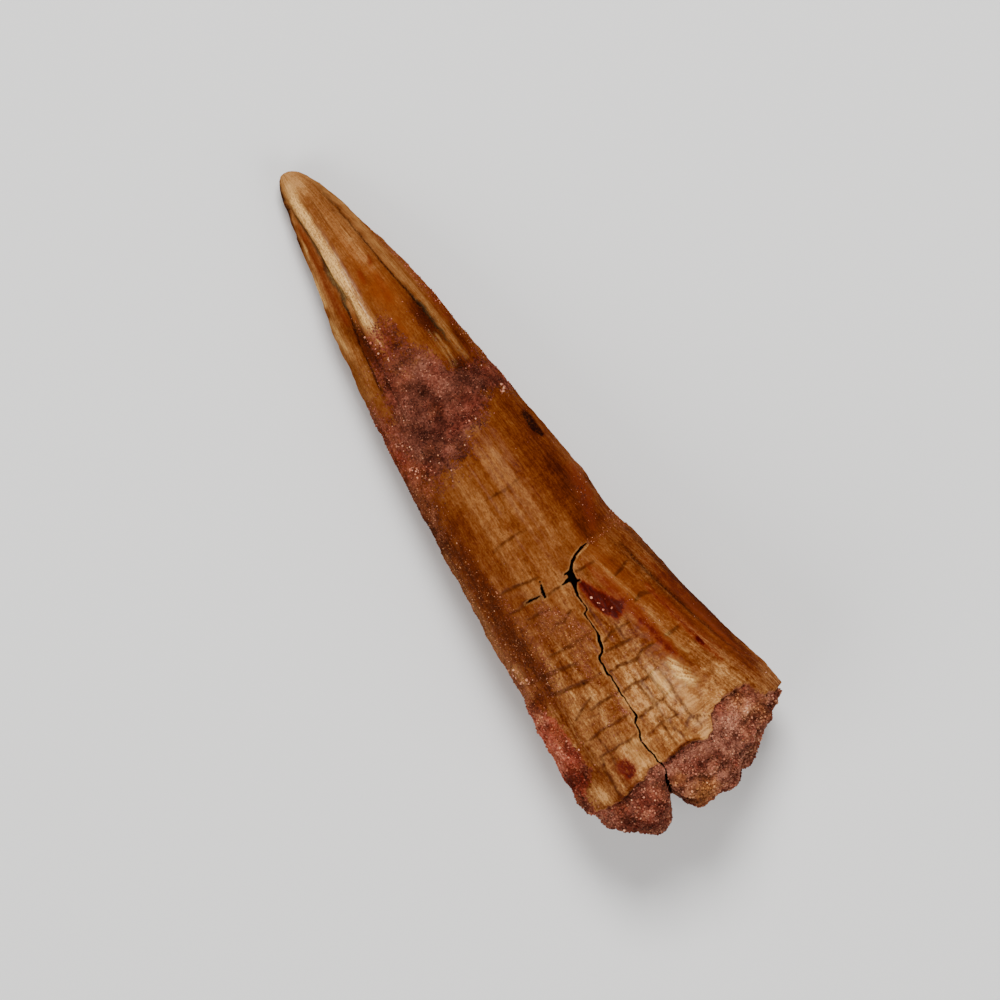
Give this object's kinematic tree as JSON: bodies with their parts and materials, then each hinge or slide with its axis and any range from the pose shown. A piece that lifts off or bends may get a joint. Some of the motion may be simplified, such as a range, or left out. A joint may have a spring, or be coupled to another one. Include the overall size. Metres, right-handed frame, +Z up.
{
  "type": "fossil spinosaurus tooth",
  "caption": "Long conical fossil tooth crown lying on its side, with fluted enamel, a branching crack, cemented sand and a broken two-lobed root end.",
  "frame": {"origin": "on the surface the tooth lies on, under the middle of its bounding box", "axes": "+X runs along the tooth from the broken root end to the tip, +Y across it towards the margin with the sand crust, +Z up out of its better face"},
  "size_m": [0.0722, 0.022, 0.0166],
  "materials": {
    "fossil_enamel": "golden to orange-brown fossil enamel, satin on the ridges, with purple-brown sand cemented in patches",
    "cemented_sand": "dull purple-brown to pinkish quartz sand grains with pale specks"
  },
  "bodies": {
    "root": {"tooth": "fossil_enamel"}
  },
  "joints": []
}
